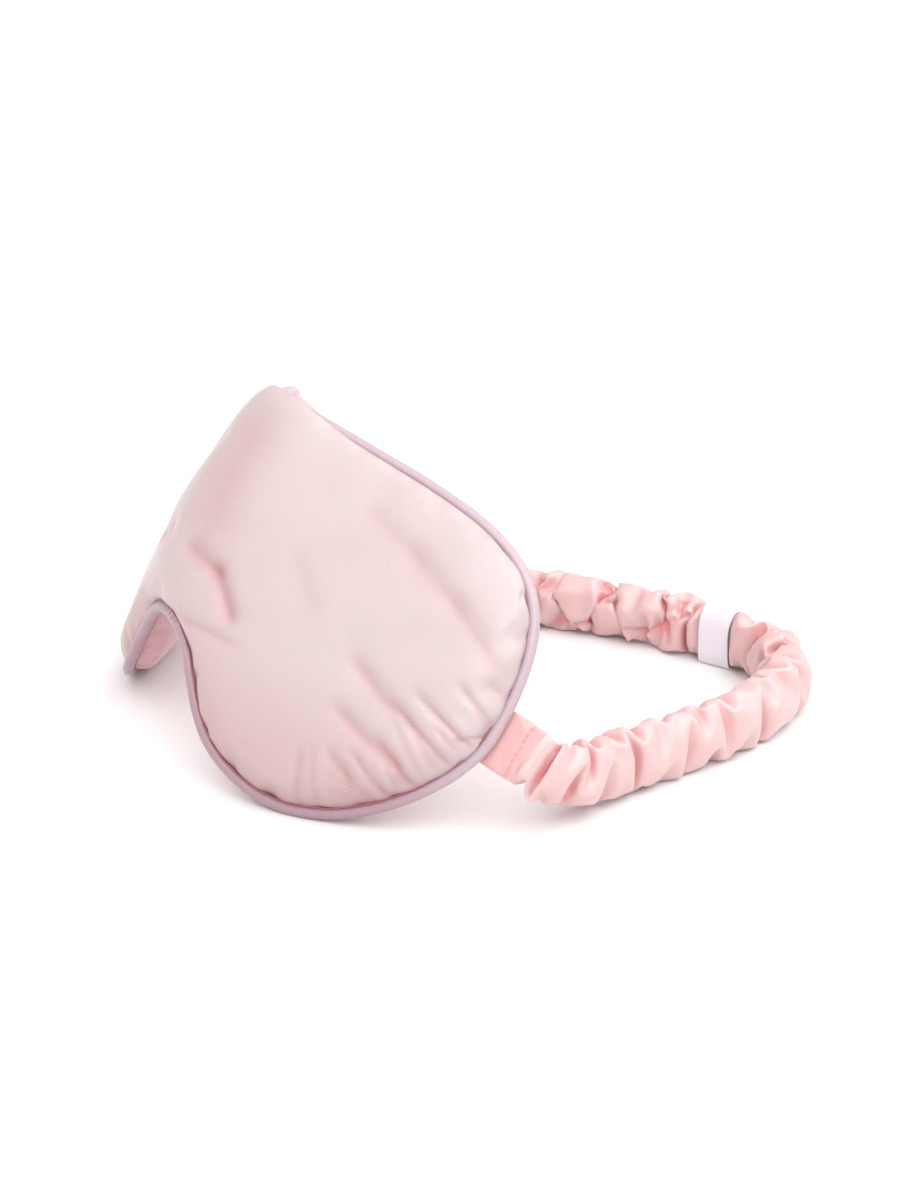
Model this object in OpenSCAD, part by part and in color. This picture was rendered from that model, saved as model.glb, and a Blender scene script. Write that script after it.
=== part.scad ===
// Contoured sleep eye mask: two satin panels over wadding and a light-blocking lining,
// a corded piping round the edge, and a gathered satin strap with an elastic band inside.
// X runs across the face, +Y runs from the mask to the back of the strap, and +Z is up.
// The mask is folded at the nose and stands on the lowest edge of both lobes, leaning back,
// and the strap lies behind it on its edge. The origin is on the surface that it stands on,
// in the middle of the floor that it covers.

/* [Mask outline] */
// Half width of the flattened mask, out to the piping's outer edge
half_width = 104.3; // [95:0.1:112]
// Height of the brow edge above the top of the nose notch, at the middle
brow_height = 68.2; // [62:0.1:76]
// Height of the widest point, where the strap is sewn, above the top of the notch
temple_height = 21.6; // [16:0.1:28]
// Distance from the middle to the lowest point of a lobe
cheek_out = 52.7; // [46:0.1:58]
// Depth of the nose notch
notch_depth = 26.9; // [20:0.1:32]

/* [Fold and lean] */
// Radius of the soft fold over the nose
fold_radius = 26; // [20:0.5:32]
// Angle that each lobe turns back from the middle
fold_angle = 32.4; // [26:0.1:38]
// Angle that the mask leans back from upright
lean = 34.3; // [28:0.1:38]

/* [Padding] */
// Height of the front puff above the edge seam at the fullest point
front_puff = 7.2; // [5:0.1:9]
// Height of the back puff above the edge seam at the fullest point
back_puff = 6.4; // [5:0.1:8]
// Thickness of the satin panels
satin = 0.5; // [0.4:0.05:0.7]
// Thickness of the light-blocking lining
lining = 0.5; // [0.3:0.1:0.6]

/* [Piping] */
// Outer diameter of the piping
piping_d = 3.2; // [2.8:0.1:4.2]
// Diameter of the cord inside the piping
cord_d = 2; // [1.6:0.1:2.8]

/* [Strap] */
// Width of the gathered strap, which is its height when it lies on its edge
strap_width = 17.5; // [16:0.1:19]
// Thickness of the gathered strap
strap_depth = 8.6; // [7.6:0.1:9.4]
// Wall of the gathered satin, with its folds
gather_wall = 0.9; // [0.6:0.1:1.2]
// Width of the elastic band inside
elastic_width = 10; // [8:0.5:11]
// Thickness of the elastic band
elastic_thick = 1; // [0.8:0.1:1.1]
// Width of the flat sewn tab at each end
tab_width = 16; // [14:0.5:17]
// Thickness of the flat sewn tab
tab_thick = 2.4; // [2:0.1:2.6]
// Length of tab that shows past the edge of the mask
tab_reach = 7; // [6:0.1:8]

/* [Label] */
// Width of the blank ribbon label round the strap
label_width = 12; // [10:0.5:14]
// Thickness of the ribbon
label_thick = 0.4; // [0.3:0.05:0.5]

/* [Hidden] */

satin_white = [0.925, 0.865, 0.865];
satin_pink = [0.88, 0.71, 0.74];
strap_pink = [0.955, 0.765, 0.765];
piping_lilac = [0.86, 0.78, 0.82];
thread_red = [0.62, 0.36, 0.4];
wadding_white = [0.96, 0.95, 0.93];
lining_black = [0.08, 0.08, 0.09];

piping_r = piping_d / 2;
cord_r = cord_d / 2;
cover_wall = 0.5;
// reach of the curve handles that round the outline, from the brow to the notch
brow_reach = 67.9;
temple_up = 56.8;
temple_down = 16.9;
cheek_to_temple = 27.2;
cheek_to_notch = 33.9;
notch_reach = 19.1;
// stretch of the outline on each side of the middle that the fold bends
fold_stretch = fold_radius * fold_angle * PI / 180;

// ---- curves ----
function bezier(a, b, c, d, t) =
    a * (1 - t) ^ 3 + 3 * b * t * (1 - t) ^ 2 + 3 * c * t ^ 2 * (1 - t) + d * t ^ 3;
function unit(v) = v / norm(v);
function lerp(a, b, t) = a + (b - a) * t;
function ease(t) = let (k = max(0, min(1, t))) k * k * (3 - 2 * k);
function flip(p) = [-p[0], p[1], p[2]];
function reverse(list) = [for (i = [len(list) - 1:-1:0]) list[i]];

// ---- flat outline: s runs across from the middle, f runs up from the top of the notch ----
brow_top = [0, brow_height];
temple = [half_width, temple_height];
cheek = [cheek_out, -notch_depth];
notch = [0, 0];
function brow_edge(t) =
    bezier(brow_top, brow_top + [brow_reach, 0], temple + [0, temple_up], temple, t);
function cheek_edge(t) = t < 0.5
    ? bezier(notch, notch + [notch_reach, 0], cheek - [cheek_to_notch, 0], cheek, 2 * t)
    : bezier(cheek, cheek + [cheek_to_temple, 0], temple - [0, temple_down], temple, 2 * t - 1);
// unit vector into the mask from its edge
function inward(before, after) = let (d = unit(after - before)) [d[1], -d[0]];
nudge = 0.002;
function brow_inset(t, d) =
    brow_edge(t) + d * inward(brow_edge(t - nudge), brow_edge(t + nudge));
function cheek_inset(t, d) =
    cheek_edge(t) + d * inward(cheek_edge(t + nudge), cheek_edge(t - nudge));

// ---- place a point of the flat mask on the folded, leaning one; h is towards the front ----
function lean_back(p) =
    [p[0], p[1] * cos(lean) + p[2] * sin(lean), p[2] * cos(lean) - p[1] * sin(lean)];
function on_mask(s, f, h) =
    let (side = s < 0 ? -1 : 1)
    let (bent = min(abs(s), fold_stretch))
    let (straight = abs(s) - bent)
    let (turn = bent / fold_radius * 180 / PI)
    let (x = fold_radius * sin(turn) + straight * cos(turn) + h * sin(turn))
    let (y = fold_radius * (1 - cos(turn)) + straight * sin(turn) - h * cos(turn))
    lean_back([side * x, y, f]);

// ---- edge loop, clockwise from the middle of the brow ----
brow_steps = 18;
cheek_steps = 20;
half_edge = concat(
    [for (i = [0:brow_steps - 1]) brow_edge((i / brow_steps) ^ 1.25)],
    [for (i = [cheek_steps:-1:0]) cheek_edge(i / cheek_steps)]);
edge = concat(half_edge, [for (i = [len(half_edge) - 2:-1:1]) [-half_edge[i][0], half_edge[i][1]]]);
edge_count = len(edge);
function edge_in(i) =
    inward(edge[(i + edge_count - 1) % edge_count], edge[(i + 1) % edge_count]);
function edge_inset(i, d) = edge[i] + d * edge_in(i);
function edge_place(i, d, h) = let (p = edge_inset(i, d)) on_mask(p[0], p[1], h);

// ---- the part stands on its lowest piping and strap, centred on the floor it covers ----
lift = piping_r - min([for (i = [0:edge_count - 1]) edge_place(i, piping_r, 0)[2]]);
middle_y = 85.8;
module on_floor() {
    translate([0, -middle_y, lift]) children();
}
// local frame at the right temple: X out along the lobe, Y to the back, Z up the mask
module at_temple() {
    translate(on_mask(temple[0], temple[1], 0))
        rotate([-lean, 0, 0])
            rotate([0, 0, fold_angle])
                children();
}
module other_side() {
    mirror([1, 0, 0]) children();
}

// ---- closed sweep of a ring of points, and open sweep with two flat ends ----
function ring_faces(rings, sides, closed) =
    [for (i = [0:rings - (closed ? 1 : 2)], j = [0:sides - 1])
        let (a = i * sides + j)
        let (b = i * sides + (j + 1) % sides)
        let (c = ((i + 1) % rings) * sides + (j + 1) % sides)
        let (d = ((i + 1) % rings) * sides + j)
        each [[a, b, c], [a, c, d]]];
module closed_sweep(rings) {
    sides = len(rings[0]);
    polyhedron([for (r = rings) each r], ring_faces(len(rings), sides, true));
}
module open_sweep(rings) {
    sides = len(rings[0]);
    last = (len(rings) - 1) * sides;
    polyhedron([for (r = rings) each r],
        concat(ring_faces(len(rings), sides, false),
            [[for (j = [sides - 1:-1:0]) j], [for (j = [0:sides - 1]) last + j]]));
}
// a tube: the outer rings run forward and the inner ones come back, closed into one skin
module tube_sweep(outer, inner) {
    sides = len(outer[0]);
    closed_sweep([for (j = [0:sides - 1])
        concat([for (r = outer) r[j]], reverse([for (r = inner) r[j]]))]);
}

// ---- panels, wadding and lining: columns across the mask, rows from cheek to brow ----
column_steps = 14;
row_steps = 8;
last_column = column_steps - 1;
function column_at(k) = (abs(k) / column_steps) ^ 1.4;
function row_at(r) = (1 - cos(180 * r / row_steps)) / 2;
function flat_point(k, r, inset) =
    let (p = lerp(cheek_inset(column_at(k), inset), brow_inset(column_at(k), inset), row_at(r)))
    [k < 0 ? -p[0] : p[0], p[1]];
// puff over a column: full over the lobes, a little less at the fold, none at the temple tip
function puff_at(k, r) =
    let (span = norm(brow_inset(column_at(k), piping_d) - cheek_inset(column_at(k), piping_d)))
    let (full = sqrt(min(1, span / 70)))
    let (nose = 0.8 + 0.2 * ease(abs(k) / 6))
    full * nose * sin(180 * r / row_steps);
function sheet_point(k, r, inset, puff, base) =
    let (p = flat_point(k, r, inset))
    on_mask(p[0], p[1], base + puff * puff_at(k, r));
// a solid between two layers over the columns, from row r0 to row r1, inset from the outline
module layer(r0, r1, inset, top_puff, top_base, low_puff, low_base, tips) {
    columns = [-last_column:last_column];
    rows = r1 - r0 + 1;
    count = 2 * last_column + 1;
    tip_in = half_width - inset;
    upper = [for (k = columns, r = [r0:r1]) sheet_point(k, r, inset, top_puff, top_base)];
    lower = [for (k = columns, r = [r0:r1]) sheet_point(k, r, inset, low_puff, low_base)];
    upper_tips = [for (side = [-1, 1]) on_mask(side * tip_in, temple_height, top_base)];
    lower_tips = [for (side = [-1, 1]) on_mask(side * tip_in, temple_height, low_base)];
    size = count * rows;
    grid = [for (i = [0:count - 2], j = [0:rows - 2])
        let (a = i * rows + j)
        each [[a, a + rows, a + rows + 1], [a, a + rows + 1, a + 1]]];
    first = [for (j = [0:rows - 1]) j];
    final = [for (j = [0:rows - 1]) size - rows + j];
    left_fan = [for (j = [0:rows - 2]) [2 * size, first[j], first[j + 1]]];
    right_fan = [for (j = [0:rows - 2]) [2 * size + 1, final[j + 1], final[j]]];
    left_low_fan = [for (j = [0:rows - 2]) [2 * size + 2, size + first[j + 1], size + first[j]]];
    right_low_fan = [for (j = [0:rows - 2]) [2 * size + 3, size + final[j], size + final[j + 1]]];
    // the rim runs along row r0, round the right end, back along row r1 and round the left end
    along_low = [for (i = [0:count - 1]) i * rows];
    along_high = [for (i = [count - 1:-1:0]) i * rows + rows - 1];
    rim = tips
        ? concat(along_low, [2 * size + 1], along_high, [2 * size])
        : concat(along_low, [for (j = [1:rows - 2]) final[j]], along_high,
            [for (j = [rows - 2:-1:1]) first[j]]);
    function under(v) = v < size ? v + size : v + 2;
    wall = [for (i = [0:len(rim) - 1])
        let (a = rim[i])
        let (b = rim[(i + 1) % len(rim)])
        each [[a, under(a), under(b)], [a, under(b), b]]];
    points = tips ? concat(upper, lower, upper_tips, lower_tips) : concat(upper, lower);
    skin = concat(grid, [for (t = grid) [t[0] + size, t[2] + size, t[1] + size]], wall);
    faces = tips ? concat(skin, left_fan, right_fan, left_low_fan, right_low_fan) : skin;
    polyhedron(points, [for (t = faces) reverse(t)]);
}

seam = piping_d;
flange = 2.2;
rim_height = 0.9;
skin_gap = 0.1;
flange_gap = 0.35;
module front_panel() {
    color(satin_white)
        on_floor()
            layer(0, row_steps, seam, front_puff, rim_height, front_puff, rim_height - satin, true);
}
module back_panel() {
    color(satin_pink)
        on_floor()
            layer(0, row_steps, seam, -back_puff, satin - rim_height, -back_puff, -rim_height, true);
}
module front_wadding() {
    color(wadding_white)
        on_floor()
            layer(1, row_steps - 1, seam, front_puff, rim_height - satin - skin_gap, 0, flange_gap, false);
}
module back_wadding() {
    color(wadding_white)
        on_floor()
            layer(1, row_steps - 1, seam, 0, -flange_gap, -back_puff, satin + skin_gap - rim_height, false);
}
module blackout_lining() {
    color(lining_black)
        on_floor()
            layer(0, row_steps, seam + flange + skin_gap, 0, lining / 2, 0, -lining / 2, true);
}

// ---- piping ----
// satin strip wrapped round the cord, its two edges lying in the seam
flange_out = 0.3;
flange_in = 0.08;
function piping_section() =
    let (r_in = piping_r - cover_wall)
    let (a_out = asin(flange_out / piping_r))
    let (a_in = asin(flange_in / r_in))
    concat(
        [[-piping_r - flange, flange_out]],
        [for (i = [0:8]) let (a = lerp(180 - a_out, -180 + a_out, i / 8)) piping_r * [cos(a), sin(a)]],
        [[-piping_r - flange, -flange_out], [-piping_r - flange, -flange_in]],
        [for (i = [0:7]) let (a = lerp(-180 + a_in, 180 - a_in, i / 7)) r_in * [cos(a), sin(a)]],
        [[-piping_r - flange, flange_in]]);
// a section's first number is measured outwards from the piping's middle, its second to the front
function round_edge(section, middle) =
    [for (i = [0:edge_count - 1]) [for (q = section) edge_place(i, middle - q[0], q[1])]];
function circle_section(r, sides) =
    [for (j = [0:sides - 1]) let (a = -360 * j / sides) r * [cos(a), sin(a)]];
module piping_cover() {
    color(piping_lilac)
        on_floor()
            closed_sweep(round_edge(piping_section(), piping_r));
}
module piping_cord() {
    color(wadding_white)
        on_floor()
            closed_sweep(round_edge(circle_section(cord_r, 8), piping_r));
}
// one thread that rises and dips in the ditch between the piping and the front panel
thread_r = 0.22;
thread_height = 1.6;
thread_rise = 0.12;
thread_inset = piping_d - 0.25;
module edge_thread() {
    section = circle_section(thread_r, 4);
    color(thread_red)
        on_floor()
            closed_sweep([for (i = [0:edge_count - 1])
                let (middle = thread_height + thread_rise * (i % 2))
                [for (q = section) edge_place(i, thread_inset - q[0], middle + q[1])]]);
}

// ---- strap tabs ----
tab_back = piping_r + 0.2;
tab_hidden = 3.3;
module tab_body() {
    round_r = tab_thick / 2;
    translate([0, 0, -tab_width / 2])
        linear_extrude(tab_width)
            union() {
                translate([-tab_hidden, tab_back])
                    square([tab_reach + tab_hidden - round_r, tab_thick]);
                translate([tab_reach - round_r, tab_back + round_r])
                    circle(r = round_r, $fn = 24);
            }
}
// a row of stitches on both faces of a tab
stitch_count = 8;
stitch_pitch = 1.9;
stitch_len = 1.3;
stitch_r = 0.2;
stitch_in = 1.4;
module tab_stitches() {
    for (y = [tab_back - stitch_r - 0.03, tab_back + tab_thick + stitch_r + 0.03])
        for (i = [0:stitch_count - 1])
            let (z = (i - (stitch_count - 1) / 2) * stitch_pitch - stitch_len / 2)
            translate([tab_reach - stitch_in, y, z])
                cylinder(r = stitch_r, h = stitch_len, $fn = 16);
}
module tab_right() {
    color(strap_pink)
        on_floor()
            at_temple()
                tab_body();
}
module tab_left() {
    color(strap_pink)
        on_floor()
            other_side()
                at_temple()
                    tab_body();
}
module tab_thread_right() {
    color(thread_red)
        on_floor()
            at_temple()
                tab_stitches();
}
module tab_thread_left() {
    color(thread_red)
        on_floor()
            other_side()
                at_temple()
                    tab_stitches();
}

// ---- strap: an upright band along a route on the floor, twisted at both ends to meet the tabs ----
// the route is given in the part's own frame
tab_clear = 0.3;
along_lobe = lean_back([cos(fold_angle), sin(fold_angle), 0]);
to_back = lean_back([-sin(fold_angle), cos(fold_angle), 0]);
up_mask = lean_back([0, 0, 1]);
strap_start = on_mask(temple[0], temple[1], 0) + [0, -middle_y, lift]
    + (tab_reach + tab_clear) * along_lobe + (tab_back + tab_thick / 2) * to_back;
rest_z = strap_width / 2 + 0.05;
route = [strap_start,
    [96.5, -19.7, 18], [91, -7.7, 12.8], [84.5, 6.3, 10], [80.5, 20.3, 9.1], [77, 35.3, rest_z],
    [72, 52.8, rest_z], [64.5, 66.8, rest_z], [54, 77.8, rest_z], [41, 83.3, rest_z],
    [27, 82.8, rest_z], [13, 77.3, rest_z], [-1, 69.3, rest_z], [-14, 59.8, rest_z],
    [-29, 46.8, rest_z], [-46, 30.3, rest_z], [-64, 12.3, 9.6], [-82, -4.7, 12.8],
    [-95.5, -18.7, 18], flip(strap_start)];
route_last = len(route) - 1;
substeps = 3;
strap_rings = route_last * substeps;
function route_point(i) = i < 0 ? 2 * route[0] - route[1]
    : i > route_last ? 2 * route[route_last] - route[route_last - 1]
    : route[i];
// smooth curve through the route's points
function strap_at(n) =
    let (i = min(floor(n / substeps), route_last - 1))
    let (t = n / substeps - i)
    let (a = route_point(i - 1))
    let (b = route_point(i))
    let (c = route_point(i + 1))
    let (d = route_point(i + 2))
    (2 * b + (c - a) * t + (2 * a - 5 * b + 4 * c - d) * t ^ 2 + (3 * b - a - 3 * c + d) * t ^ 3) / 2;
// share of the full gathered section: 0 at the tabs, 1 once the strap stands on the floor
blend_rings = 6;
function fullness(n) = ease(min(n, strap_rings - n) / blend_rings);
// the label squeezes the strap by its own thickness, so that it rests level with it
label_ring = 32;
label_span = label_width / 2 / norm(strap_at(label_ring + 0.5) - strap_at(label_ring - 0.5));
label_clear = 0.15;
function squeeze(n) =
    2 * (label_clear + label_thick) * (1 - ease((abs(n - label_ring) - label_span) / 1.5));
rounded_section = [[1, 0.55], [0.7, 0.9], [0.3, 1], [-0.3, 1], [-0.7, 0.9], [-1, 0.55],
    [-1, -0.55], [-0.7, -0.9], [-0.3, -1], [0.3, -1], [0.7, -0.9], [1, -0.55]];
square_section = [[1, 1], [-1, 1], [-1, -1], [1, -1]];
function strap_ring(n, section_w, section_t, end_w, end_t, section = rounded_section) =
    let (middle = strap_at(n))
    let (k = fullness(n))
    let (along_route = unit(strap_at(min(n + 0.5, strap_rings)) - strap_at(max(n - 0.5, 0))))
    let (along_tab = n < strap_rings / 2 ? along_lobe : -flip(along_lobe))
    let (ahead = unit(lerp(along_tab, along_route, k)))
    let (rough_up = (1 - k) * up_mask + k * [0, 0, 1])
    let (up = unit(rough_up - (rough_up * ahead) * ahead))
    let (side = cross(ahead, up))
    let (w = (lerp(end_w, section_w, k) - squeeze(n)) / 2)
    let (t = (lerp(end_t, section_t, k) - squeeze(n)) / 2)
    [for (q = section) middle + side * q[0] * t + up * q[1] * w];
joint_gap = 0.06;
back_first = 19;
back_last = 39;
strap_end_t = tab_thick + 0.6;
function marks_between(from_ring, to_ring) =
    concat([from_ring], [for (n = [ceil(from_ring + 0.2):floor(to_ring - 0.2)]) n], [to_ring]);
module strap_cover(from_ring, to_ring) {
    w = gather_wall * 2;
    marks = marks_between(from_ring, to_ring);
    outer = [for (n = marks) strap_ring(n, strap_width, strap_depth, tab_width, strap_end_t)];
    inner = [for (n = marks) strap_ring(n, strap_width - w, strap_depth - w, tab_width - w, strap_end_t - w)];
    color(strap_pink)
        tube_sweep(outer, inner);
}
// the band keeps its own size all the way, under the label too
function band_ring(n) =
    let (w = elastic_width + squeeze(n))
    let (t = elastic_thick + squeeze(n))
    strap_ring(n, w, t, w, t, square_section);
module elastic(from_ring, to_ring) {
    color(wadding_white)
        open_sweep([for (n = marks_between(from_ring, to_ring)) band_ring(n)]);
}
module strap_cover_right() {
    strap_cover(0, back_first - joint_gap);
}
module strap_cover_left() {
    strap_cover(back_last + joint_gap, strap_rings);
}
module strap_cover_back() {
    strap_cover(back_first, back_last);
}
module elastic_right() {
    elastic(0, back_first - joint_gap);
}
module elastic_left() {
    elastic(back_last + joint_gap, strap_rings);
}
module elastic_back() {
    elastic(back_first, back_last);
}

// ---- label: a ribbon round the strap at the back of the loop, its ends stitched on the outside ----
module label() {
    w = 2 * label_clear;
    t = 2 * label_thick;
    marks = [for (i = [-1:1]) label_ring + i * label_span];
    outer = [for (n = marks)
        strap_ring(n, strap_width + w + t, strap_depth + w + t, tab_width, strap_end_t)];
    inner = [for (n = marks) strap_ring(n, strap_width + w, strap_depth + w, tab_width, strap_end_t)];
    color("white")
        tube_sweep(outer, inner);
}
module label_thread() {
    middle = strap_at(label_ring);
    ahead = unit(strap_at(label_ring + 0.5) - strap_at(label_ring - 0.5));
    outside = cross(ahead, [0, 0, 1]);
    off = strap_depth / 2 + stitch_r + 0.2;
    color(thread_red)
        for (i = [-2:2])
            translate(middle + outside * off + ahead * i * stitch_pitch - [0, 0, 4])
                rotate([0, 90, atan2(ahead[1], ahead[0])])
                    translate([0, 0, -stitch_len / 2])
                        cylinder(r = stitch_r, h = stitch_len, $fn = 16);
}

front_panel();
back_panel();
front_wadding();
back_wadding();
blackout_lining();
piping_cover();
piping_cord();
edge_thread();
tab_right();
tab_left();
tab_thread_right();
tab_thread_left();
strap_cover_right();
strap_cover_left();
strap_cover_back();
elastic_right();
elastic_left();
elastic_back();
label();
label_thread();
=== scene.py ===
"""Sleep eye mask: padded satin mask, corded piping and a gathered strap, on a pale floor."""
import math
import random

import bmesh
import bpy
import numpy as np
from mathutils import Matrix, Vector, noise


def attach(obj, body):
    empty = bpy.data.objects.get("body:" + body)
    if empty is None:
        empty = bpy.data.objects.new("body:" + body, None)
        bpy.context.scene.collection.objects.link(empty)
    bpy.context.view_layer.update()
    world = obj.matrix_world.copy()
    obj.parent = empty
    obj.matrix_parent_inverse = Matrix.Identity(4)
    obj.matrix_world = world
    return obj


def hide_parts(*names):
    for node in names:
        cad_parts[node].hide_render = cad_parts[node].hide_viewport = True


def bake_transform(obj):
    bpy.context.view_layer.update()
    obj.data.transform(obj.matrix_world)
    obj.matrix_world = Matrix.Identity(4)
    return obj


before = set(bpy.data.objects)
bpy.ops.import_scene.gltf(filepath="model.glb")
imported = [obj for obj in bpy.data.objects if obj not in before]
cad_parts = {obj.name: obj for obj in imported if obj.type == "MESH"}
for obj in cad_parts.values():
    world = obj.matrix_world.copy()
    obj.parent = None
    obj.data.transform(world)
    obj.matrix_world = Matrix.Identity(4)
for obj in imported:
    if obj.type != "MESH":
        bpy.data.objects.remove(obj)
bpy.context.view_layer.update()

MM = 0.001

# ---------------------------------------------------------------- sizes, in millimetres
# the same driving dimensions as the CAD model
HALF_WIDTH = 104.3
BROW_HEIGHT = 68.2
TEMPLE_HEIGHT = 21.6
CHEEK_OUT = 52.7
NOTCH_DEPTH = 26.9
BROW_REACH, TEMPLE_UP, TEMPLE_DOWN = 67.9, 56.8, 16.9
CHEEK_TO_TEMPLE, CHEEK_TO_NOTCH, NOTCH_REACH = 27.2, 33.9, 19.1
FOLD_RADIUS = 26.0
FOLD_ANGLE = math.radians(32.4)
LEAN = math.radians(34.3)
PIPING_R = 1.6
SEAM = 2 * PIPING_R
RIM_HEIGHT = 0.9
FRONT_PUFF = 7.2
BACK_PUFF = 6.4
STRAP_WIDTH = 17.5
STRAP_DEPTH = 8.6
ELASTIC_WIDTH = 10.0
ELASTIC_THICK = 1.0
TAB_WIDTH = 16.0
TAB_THICK = 2.4
TAB_REACH = 7.0
TAB_BACK = PIPING_R + 0.2
REST_Z = STRAP_WIDTH / 2 + 0.05
# the top of the nose notch in the part's frame, at the height that puts the lobes' piping on the floor
NOSE = np.array([0.0, -85.8, 38.12])
# the middle of the strap along its route in the part's frame, between its starts at the two tabs
ROUTE_MIDDLE = [
    (96.5, -19.7, 18), (91, -7.7, 12.8), (84.5, 6.3, 10), (80.5, 20.3, 9.1), (77, 35.3, REST_Z),
    (72, 52.8, REST_Z), (64.5, 66.8, REST_Z), (54, 77.8, REST_Z), (41, 83.3, REST_Z),
    (27, 82.8, REST_Z), (13, 77.3, REST_Z), (-1, 69.3, REST_Z), (-14, 59.8, REST_Z),
    (-29, 46.8, REST_Z), (-46, 30.3, REST_Z), (-64, 12.3, 9.6), (-82, -4.7, 12.8), (-95.5, -18.7, 18),
]


# ---------------------------------------------------------------- camera, light and floor
VIEW_AZIMUTH = math.radians(63.8)
VIEW_ELEVATION = math.radians(21.7)
VIEW_DISTANCE = 0.8
VIEW_CENTRE = Vector((0.033, -0.0164, 0.0420))
LENS = 88.9
SUN_SPREAD = math.radians(70)
# axis, the end of it where the tent is brightest, and the brightness in the middle and at that end
TENT_RAMPS = (("Z", 1.0, 0.36, 1.1), ("Y", -1.0, 0.0, 0.5))
FLOOR_HALF = 8.0
FLOOR_GREY = 0.78


def add_camera():
    out = Vector((
        math.sin(VIEW_AZIMUTH) * math.cos(VIEW_ELEVATION),
        -math.cos(VIEW_AZIMUTH) * math.cos(VIEW_ELEVATION),
        math.sin(VIEW_ELEVATION),
    ))
    data = bpy.data.cameras.new("camera")
    data.lens = LENS
    data.sensor_width = 36
    data.clip_start = 0.01
    camera = bpy.data.objects.new("camera", data)
    camera.location = VIEW_CENTRE + out * VIEW_DISTANCE
    camera.rotation_euler = (-out).to_track_quat("-Z", "Y").to_euler()
    bpy.context.scene.collection.objects.link(camera)
    bpy.context.scene.camera = camera


def add_sun(name, towards, strength):
    data = bpy.data.lights.new(name, "SUN")
    data.energy = strength
    data.angle = SUN_SPREAD
    light = bpy.data.objects.new(name, data)
    light.rotation_euler = (-Vector(towards)).to_track_quat("-Z", "Y").to_euler()
    bpy.context.scene.collection.objects.link(light)


def add_studio():
    scene = bpy.context.scene
    scene.view_settings.view_transform = "Standard"
    scene.view_settings.look = "None"
    world = bpy.data.worlds.new("studio")
    world.use_nodes = True
    nodes, links = world.node_tree.nodes, world.node_tree.links
    # a nearly white tent, brighter overhead and in front of the mask
    coords = nodes.new("ShaderNodeTexCoord")
    split = nodes.new("ShaderNodeSeparateXYZ")
    links.new(coords.outputs["Generated"], split.inputs["Vector"])
    brightness = nodes.new("ShaderNodeMath")
    brightness.operation = "ADD"
    for i, (axis, full_at, low, high) in enumerate(TENT_RAMPS):
        ramp = nodes.new("ShaderNodeMapRange")
        ramp.inputs["From Max"].default_value = full_at
        ramp.inputs["To Min"].default_value = low
        ramp.inputs["To Max"].default_value = high
        links.new(split.outputs[axis], ramp.inputs["Value"])
        links.new(ramp.outputs["Result"], brightness.inputs[i])
    links.new(brightness.outputs[0], nodes["Background"].inputs["Strength"])
    nodes["Background"].inputs["Color"].default_value = (1, 0.95, 0.95, 1)
    scene.world = world
    add_sun("back_light", (0.1, 0.7, 0.7), 1.4)
    add_sun("key_light", (0.6, -0.14, 0.78), 1.9)
    add_sun("fill_light", (0.85, 0.1, 0.5), 0.3)
    half = FLOOR_HALF
    mesh = bpy.data.meshes.new("floor")
    corners = [(-half, -half, 0), (half, -half, 0), (half, half, 0), (-half, half, 0)]
    mesh.from_pydata(corners, [], [(0, 1, 2, 3)])
    floor = bpy.data.objects.new("floor", mesh)
    scene.collection.objects.link(floor)
    material = bpy.data.materials.new("floor_paper")
    material.use_nodes = True
    shader = material.node_tree.nodes["Principled BSDF"]
    shader.inputs["Base Color"].default_value = (FLOOR_GREY, FLOOR_GREY, FLOOR_GREY, 1)
    shader.inputs["Roughness"].default_value = 1.0
    shader.inputs["Specular IOR Level"].default_value = 0.0
    mesh.materials.append(material)


# ---------------------------------------------------------------- materials
def new_material(name, colour, roughness):
    """A Principled material of one colour, with its nodes, its links and its shader."""
    material = bpy.data.materials.new(name)
    material.use_nodes = True
    nodes = material.node_tree.nodes
    shader = nodes["Principled BSDF"]
    shader.inputs["Base Color"].default_value = (*colour, 1)
    shader.inputs["Roughness"].default_value = roughness
    return material, nodes, material.node_tree.links, shader


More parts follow.
